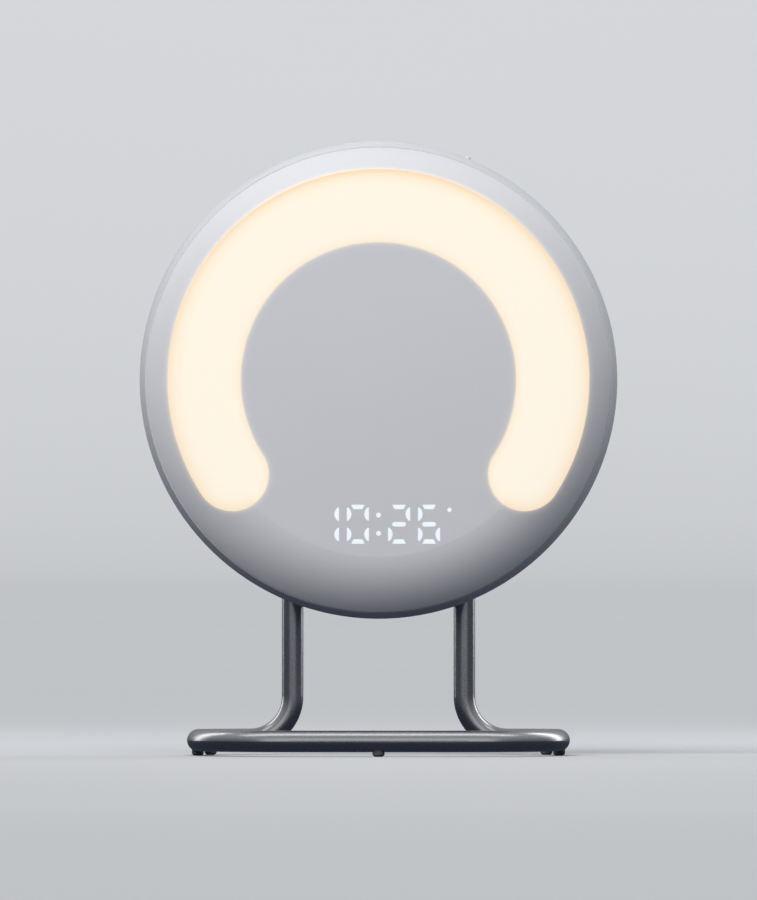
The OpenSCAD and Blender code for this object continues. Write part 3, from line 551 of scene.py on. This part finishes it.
def stroke_tree():
    """Geometry Nodes that stand a lit stroke on each point and lay them all on the domed face."""
    lengths = ("Upright length", "Flat length", "Middle length", "Stroke", "Layer", "Head height", "Face front",
               "Dome radius")
    t, take = geometry_tree("Lit strokes", dict.fromkeys(lengths, "Float"))
    stroke, layer = take["Stroke"], take["Layer"]

    def moved(geometry, where):
        return t.node("GeometryNodeSetPosition", inputs={"Geometry": geometry, "Position": where})

    def named(name, kind):
        return t.node("GeometryNodeInputNamedAttribute", {"data_type": kind}, {"Name": name})

    def block(length):
        return t.node("GeometryNodeMeshCube", inputs={
            "Size": t.vector(length, stroke, layer), "Vertices X": 17, "Vertices Y": 3, "Vertices Z": 2})

    x, y, z = t.parts(t.node("GeometryNodeInputPosition"))

    def inward(length, height):
        """Straight on its outer side, and as high at each point as it is given."""
        return moved(block(length), t.vector(x, (y / stroke + 0.5) * height, z))

    def bow(length):
        """The height of a stroke that is curved on its inner side."""
        bulge = length * BOW_RADIUS
        return stroke - bulge + (bulge * bulge - x * x).root()

    def slant(length):
        """The height of a stroke with slanted ends."""
        return ((length * 0.5 - abs(x)) * END_SLOPE).at_least(stroke * 0.05).at_most(stroke)

    def lozenge(length):
        """Rounded at both ends."""
        past = (abs(x) - (length - stroke) * 0.5).at_least(0.0) * 2.0 / stroke
        height = (1.0 - past * past).at_least(0.02).root()
        return moved(block(length), t.vector(x, y * height, z))

    dot = t.node("GeometryNodeMeshCylinder", inputs={"Vertices": 32, "Radius": 0.5, "Depth": layer})
    size = named("size", "FLOAT")
    upright, flat = take["Upright length"], take["Flat length"]
    shapes = {UPRIGHT: inward(upright, bow(upright)), FLAT: inward(flat, slant(flat)),
              MIDDLE: lozenge(take["Middle length"]), DOT: dot}
    joined = t.node("GeometryNodeJoinGeometry")
    for kind, shape in shapes.items():
        stood = t.node("GeometryNodeInstanceOnPoints", inputs={
            "Points": take["Geometry"],
            "Selection": t.node("FunctionNodeCompare", {"data_type": "INT", "operation": "EQUAL"},
                                {2: named("kind", "INT"), 3: kind}),
            "Instance": shape, "Rotation": t.vector(z=named("turn", "FLOAT")), "Scale": t.vector(size, size, 1.0)})
        t.node_tree.links.new(stood.socket, joined.socket.node.inputs[0])
    whole = t.node("GeometryNodeRealizeInstances", inputs=(joined,))
    dome = take["Dome radius"]
    sag = dome - (dome * dome - x * x - y * y).root()
    front = take["Face front"] + sag - z - layer * STROKE_LIFT
    return finished(t, moved(whole, t.vector(x, front, take["Head height"] + y)), take["Material"])


def made_by(group, mesh, name, **inputs):
    """Runs Geometry Nodes on a mesh and keeps the result as a plain piece."""
    piece = bpy.data.objects.new(name, mesh)
    bpy.context.scene.collection.objects.link(piece)
    modifier = piece.modifiers.new(name, "NODES")
    modifier.node_group = group
    for socket in group.interface.items_tree:
        if socket.in_out == "INPUT" and socket.name.replace(" ", "_") in inputs:
            modifier[socket.identifier] = inputs[socket.name.replace(" ", "_")]
    result = bpy.data.meshes.new_from_object(piece.evaluated_get(bpy.context.evaluated_depsgraph_get()))
    piece.modifiers.remove(modifier)
    piece.data = result
    result.name = name
    if len(result.polygons) == 0:
        raise RuntimeError(f"{name} came out empty")
    return piece


# ---- signs printed on the rear keys ----

def arc(radius, start=0.0, end=360.0, sides=24):
    """Points round a circle, in millimetres."""
    turns = [math.radians(start + (end - start) * k / sides) for k in range(sides + 1)]
    return [(radius * math.cos(a), radius * math.sin(a)) for a in turns]


def spoke(angle, inner, outer):
    return [arc(inner, angle, angle, 1)[0], arc(outer, angle, angle, 1)[0]]


SIGNS = {
    "minus": [[(-1.4, 0.0), (1.4, 0.0)]],
    "sun": [arc(0.95)] + [spoke(45 * k, 1.5, 2.15) for k in range(8)],
    "clock": [arc(1.75), [(0.0, 1.1), (0.0, 0.0), (0.75, -0.4)]],
    "bell": [[(-1.7, -1.15), (-1.25, -0.6), *arc(1.15, 180, 0, 12), (1.25, -0.6), (1.7, -1.15), (-1.7, -1.15)],
             [(-0.5, -1.6), (-0.25, -1.85), (0.25, -1.85), (0.5, -1.6)], [(0.0, 1.15), (0.0, 1.7)]],
    "plus": [[(-1.4, 0.0), (1.4, 0.0)], [(0.0, -1.4), (0.0, 1.4)]],
}


def sign_lines(name, runs):
    """The sign's lines as bare edges. A run that ends where it began is a closed loop."""
    points, edges = [], []
    for run in runs:
        closed = math.dist(run[0], run[-1]) < 1e-6
        first = len(points)
        points += run[:-1] if closed else run
        edges += [(k, k + 1) for k in range(first, len(points) - 1)]
        if closed:
            edges.append((len(points) - 1, first))
    mesh = bpy.data.meshes.new(name)
    mesh.from_pydata([(x * MM, y * MM, 0.0) for x, y in points], edges, [])
    return mesh


def ink_tree():
    """Geometry Nodes that turn bare lines into flat strokes of ink and stand them on a key."""
    t, take = geometry_tree("Ink", {"Width": "Float", "Layer": "Float", "Turn": "Vector", "Place": "Vector"})
    line = t.node("GeometryNodeMeshToCurve", inputs=(take["Geometry"],))
    section = t.node("GeometryNodeCurvePrimitiveQuadrilateral", inputs=(take["Width"], take["Layer"]))
    stroke = t.node("GeometryNodeCurveToMesh", inputs={"Curve": line, "Profile Curve": section, "Fill Caps": True})
    stood = t.node("GeometryNodeTransform", inputs={
        "Geometry": stroke, "Translation": take["Place"], "Rotation": take["Turn"]})
    whole = t.node("GeometryNodeRealizeInstances", inputs=(stood,))
    return finished(t, whole, take["Material"])


# ---- operators ----

class ClockStep(bpy.types.Operator):
    """One step of dressing the clock."""
    bl_options = {"REGISTER", "UNDO"}

    def execute(self, context):
        self.dress(context.scene)
        return {"FINISHED"}


class CLOCK_OT_shells(ClockStep):
    """Gives the front cover and the rear shell their satin plastic"""
    bl_idname = "clock.shells"
    bl_label = "Shells"

    def dress(self, scene):
        rgb = tuple(scene.clock_body.plastic)
        give(face_plastic("face_plastic", rgb, scene.clock_lamp), "front_cover")
        give(moulded_plastic("shell_plastic", rgb), "rear_housing")
        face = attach(welded_copy("front_cover", "face_shell"), "case")
        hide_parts("front_cover")


class CLOCK_OT_lamp(ClockStep):
    """Lights the C-shaped window and finishes what stands behind it"""
    bl_idname = "clock.lamp"
    bl_label = "Lamp"

    def dress(self, scene):
        lamp = scene.clock_lamp
        give(lit_window("lit_window", lamp), "light_window")
        give(moulded_plastic("white_plastic", (0.85, 0.85, 0.84), 0.55), "light_chassis")
        give(circuit_board("board_white", (0.80, 0.80, 0.77), (0.70, 0.69, 0.63)), "led_board")
        give(led_gel("led", lamp), "leds")


class CLOCK_OT_display(ClockStep):
    """Shows the time on the face and finishes the display behind it"""
    bl_idname = "clock.display"
    bl_label = "Display"

    def dress(self, scene):
        display = scene.clock_display
        give(moulded_plastic("display_black", (0.02, 0.02, 0.022), 0.5), "display_block")
        give(clear_lens("lens", display), "segment_lenses")
        glow = lit_strokes("lit_strokes", display)
        upright, flat, middle = stroke_lengths(display)
        digits = made_by(
            stroke_tree(), stroke_points(stroke_places(display)), "lit_digits",
            Upright_length=upright, Flat_length=flat, Middle_length=middle,
            Stroke=display.stroke, Layer=display.layer, Head_height=HEAD_Z, Face_front=FACE_Y,
            Dome_radius=display.dome, Material=glow)
        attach(digits, "case")


class CLOCK_OT_boards(ClockStep):
    """Finishes the circuit boards, their parts and the switches"""
    bl_idname = "clock.boards"
    bl_label = "Boards and switches"

    def dress(self, scene):
        board = circuit_board("board_green", tuple(scene.clock_body.board), (0.05, 0.26, 0.11))
        give(board, "main_board", "display_board", "snooze_board", "side_board", "key_board")
        black = moulded_plastic("dark_plastic", (0.025, 0.025, 0.028), 0.5, grain=0.2)
        give(black, "board_parts", "snooze_switch", "side_switch", "key_switches", "dc_jack")


class CLOCK_OT_screws(ClockStep):
    """Finishes the screws and the coil spring"""
    bl_idname = "clock.screws"
    bl_label = "Screws and spring"

    def dress(self, scene):
        steel = plain_metal("screw_steel", (0.55, 0.55, 0.57), 0.30, grain=0.3)
        give(steel, "board_screws", "case_screws", "snooze_screws", "side_screws", "key_screws", "bracket_screws",
             "leg_screws", "snooze_spring")


class CLOCK_OT_spring(ClockStep):
    """Puts a welded copy of the coil spring on the case in its place"""
    bl_idname = "clock.spring"
    bl_label = "Button spring"

    def dress(self, scene):
        press = next(joint for joint in frame["joints"] if joint["name"] == "snooze_press")
        low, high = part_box("snooze_spring")
        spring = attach(welded_copy("snooze_spring", "button_spring"), "case")
        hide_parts("snooze_spring")
        1.0 - press["range_m"][1] / (high[2] - low[2])
        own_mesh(spring)


class CLOCK_OT_buttons(ClockStep):
    """Finishes the snooze button, the side key and the rear keys"""
    bl_idname = "clock.buttons"
    bl_label = "Buttons"

    def dress(self, scene):
        rgb = lighter(tuple(scene.clock_body.plastic), 1.02)
        give(moulded_plastic("button_plastic", rgb, 0.36, grain=0.22), "snooze_button", "side_key", *REAR_KEYS)


class CLOCK_OT_signs(ClockStep):
    """Prints a plain sign on each rear key"""
    bl_idname = "clock.signs"
    bl_label = "Signs on the rear keys"

    def dress(self, scene):
        body = scene.clock_body
        ink = soft_matte("key_ink", tuple(body.ink), 0.2, 0.004, 0.6)
        group = ink_tree()
        for key, (sign, runs) in zip(REAR_KEYS, SIGNS.items()):
            low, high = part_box(key)
            place = ((low[0] + high[0]) / 2, high[1] + body.ink_layer * INK_LIFT, (low[2] + high[2]) / 2)
            piece = made_by(
                group, sign_lines(sign, runs), "sign_" + sign, Width=body.ink_line, Layer=body.ink_layer,
                Turn=(math.radians(90), 0.0, math.radians(180)), Place=place, Material=ink)
            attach(piece, key)


class CLOCK_OT_speaker(ClockStep):
    """Finishes the perforated plate and the speaker behind it"""
    bl_idname = "clock.speaker"
    bl_label = "Speaker"

    def dress(self, scene):
        give(plain_metal("grille_metal", (0.42, 0.43, 0.45), 0.42, 0.85), "speaker_grille")
        give(soft_matte("foam", (0.03, 0.03, 0.03), 0.4, 0.08), "speaker_gasket")
        give(plain_metal("dark_metal", (0.05, 0.05, 0.055), 0.5, 0.6), "speaker_frame", "speaker_magnet")
        give(soft_matte("paper_cone", (0.035, 0.033, 0.03), 0.7, 0.05, 0.8), "speaker_cone")


class CLOCK_OT_stand(ClockStep):
    """Finishes the bent tube, its bracket and the feet"""
    bl_idname = "clock.stand"
    bl_label = "Stand"

    def dress(self, scene):
        give(gunmetal("tube_metal", tuple(scene.clock_body.tube)), "stand_tube")
        give(plain_metal("cast_metal", (0.50, 0.51, 0.53), 0.45, 1.0, grain=0.8, depth=0.03), "stand_bracket")
        give(soft_matte("foot_rubber", (0.10, 0.10, 0.105), 0.5, 0.03), "feet")


HORIZON = 0.12  # share of the light above that the horizon gets
HORIZON_SLOPE = 1.8  # how fast that share grows above it
KEY_COLOUR = (1.0, 0.985, 0.965)
KEY_AIM = (0.42, 1.0, -0.95)
SOFTBOXES = (  # name, place, width and height, brightness, whether it shows in gloss alone
    ("front_box", (0.0, -1.5, 0.45), (2.0, 0.75), 0.58, True),
    ("top_box", (0.0, -0.25, 1.0), (1.6, 0.35), 1.6, True),
    ("rim_left", (-0.75, 0.50, 0.45), (0.25, 0.9), 2.6, False),
    ("rim_right", (0.75, 0.50, 0.45), (0.25, 0.9), 3.4, False),
)
SENSOR = 36.0


def studio_floor(stage):
    """A round floor that turns up into a wall, far outside the clock."""
    flat = [(stage.floor_radius * k / 8, 0.0) for k in range(1, 9)]
    turn = [(stage.floor_radius + stage.cove * math.sin(math.radians(a)),
             stage.cove * (1 - math.cos(math.radians(a)))) for a in range(10, 91, 10)]
    top = [(stage.floor_radius + stage.cove, stage.cove + stage.wall)]
    sides = 96
    shape = bmesh.new()
    rings = [[shape.verts.new((r * math.sin(2 * math.pi * k / sides), r * math.cos(2 * math.pi * k / sides), z))
              for k in range(sides)] for r, z in flat + turn + top]
    shape.faces.new(rings[0][::-1])
    for inner, outer in zip(rings, rings[1:]):
        for k in range(sides):
            m = (k + 1) % sides
            shape.faces.new((inner[k], inner[m], outer[m], outer[k]))
    bmesh.ops.recalc_face_normals(shape, faces=shape.faces)
    mesh = bpy.data.meshes.new("studio_floor")
    shape.to_mesh(mesh)
    shape.free()
    mesh.shade_smooth()
    return bpy.data.objects.new("studio_floor", mesh)


def studio_world(stage):
    """Even light from above that fades out below the horizon."""
    world = bpy.data.worlds.new("studio")
    world.use_nodes = True
    world.node_tree.nodes.clear()
    w = Tree(world.node_tree)
    height = w.parts(w.node("ShaderNodeTexCoord"))[2]
    above = (height * HORIZON_SLOPE + HORIZON).at_least(0.0).at_most(1.0)
    shade = w.node("ShaderNodeBackground", inputs={
        "Color": w.mix(above, stage.below, stage.above), "Strength": stage.daylight})
    w.node("ShaderNodeOutputWorld", inputs={"Surface": shade})
    return world


def softbox(scene, name, place, size, radiance, gloss_only):
    """A lit panel that faces the foot of the stand. It may show in the gloss of the metal and the plastic alone."""
    lamp = bpy.data.lights.new(name, "AREA")
    lamp.shape = "RECTANGLE"
    lamp.size, lamp.size_y = size
    lamp.energy = math.pi * size[0] * size[1] * radiance
    thing = bpy.data.objects.new(name, lamp)
    thing.location = place
    thing.rotation_euler = (-Vector(place)).to_track_quat("-Z", "Y").to_euler()
    thing.visible_camera = False
    thing.visible_diffuse = not gloss_only
    scene.collection.objects.link(thing)


class CLOCK_OT_stage(ClockStep):
    """Builds the pale studio floor, the soft lights and the camera"""
    bl_idname = "clock.stage"
    bl_label = "Stage"

    def dress(self, scene):
        stage = scene.clock_stage
        floor = studio_floor(stage)
        scene.collection.objects.link(floor)
        floor.visible_diffuse = floor.visible_glossy = False
        f = Finish("studio_floor")
        rgb = tuple(stage.floor)
        grain = f.noise(900, detail=2)
        floor.data.materials.append(f.surface(
            Base_Color=f.mix(grain, lighter(rgb, 0.985), lighter(rgb, 1.015)), Roughness=0.62,
            Specular_IOR_Level=0.25))
        scene.world = studio_world(stage)
        key = bpy.data.lights.new("key", "SUN")
        key.energy = stage.key
        key.angle = stage.key_spread
        key.color = KEY_COLOUR
        broad = bpy.data.objects.new("key", key)
        broad.rotation_euler = Vector(KEY_AIM).to_track_quat("-Z", "Y").to_euler()
        scene.collection.objects.link(broad)
        broad.visible_glossy = False
        for panel in SOFTBOXES:
            softbox(scene, *panel)
        camera = bpy.data.cameras.new("camera")
        camera.sensor_width = SENSOR
        camera.lens = SENSOR * stage.distance / stage.view_height
        camera.clip_start, camera.clip_end = 0.1, 100.0
        viewer = bpy.data.objects.new("camera", camera)
        viewer.location = (0.0, -stage.distance, stage.camera_height)
        viewer.rotation_euler = (math.radians(90), 0.0, 0.0)
        scene.collection.objects.link(viewer)
        scene.camera = viewer
        scene.view_settings.view_transform = "Standard"


class CLOCK_PT_panel(bpy.types.Panel):
    """The clock's settings and steps"""
    bl_idname = "CLOCK_PT_panel"
    bl_label = "Sunrise alarm clock"
    bl_space_type = "VIEW_3D"
    bl_region_type = "UI"
    bl_category = "Clock"

    def draw(self, context):
        for name in SETTINGS:
            box = self.layout.box()
            group = getattr(context.scene, name)
            for prop in group.bl_rna.properties:
                if prop.identifier not in ("rna_type", "name"):
                    box.prop(group, prop.identifier)
        for step in STEPS:
            self.layout.operator(step.bl_idname)


STEPS = (CLOCK_OT_shells, CLOCK_OT_lamp, CLOCK_OT_display, CLOCK_OT_boards, CLOCK_OT_screws, CLOCK_OT_spring,
         CLOCK_OT_buttons, CLOCK_OT_signs, CLOCK_OT_speaker, CLOCK_OT_stand, CLOCK_OT_stage)
SETTINGS = {"clock_lamp": LampSettings, "clock_display": DisplaySettings, "clock_body": BodySettings,
            "clock_stage": StageSettings}


def register():
    for part in (*SETTINGS.values(), *STEPS, CLOCK_PT_panel):
        bpy.utils.register_class(part)
    for name, settings in SETTINGS.items():
        setattr(bpy.types.Scene, name, PointerProperty(type=settings))


def unregister():
    for name in SETTINGS:
        delattr(bpy.types.Scene, name)
    for part in reversed((*SETTINGS.values(), *STEPS, CLOCK_PT_panel)):
        bpy.utils.unregister_class(part)


def main():
    register()
    bpy.ops.clock.shells()
    bpy.ops.clock.lamp()
    bpy.ops.clock.display()
    bpy.ops.clock.boards()
    bpy.ops.clock.screws()
    bpy.ops.clock.spring()
    bpy.ops.clock.buttons()
    bpy.ops.clock.signs()
    bpy.ops.clock.speaker()
    bpy.ops.clock.stand()
    bpy.ops.clock.stage()


if __name__ == "__main__":
    main()
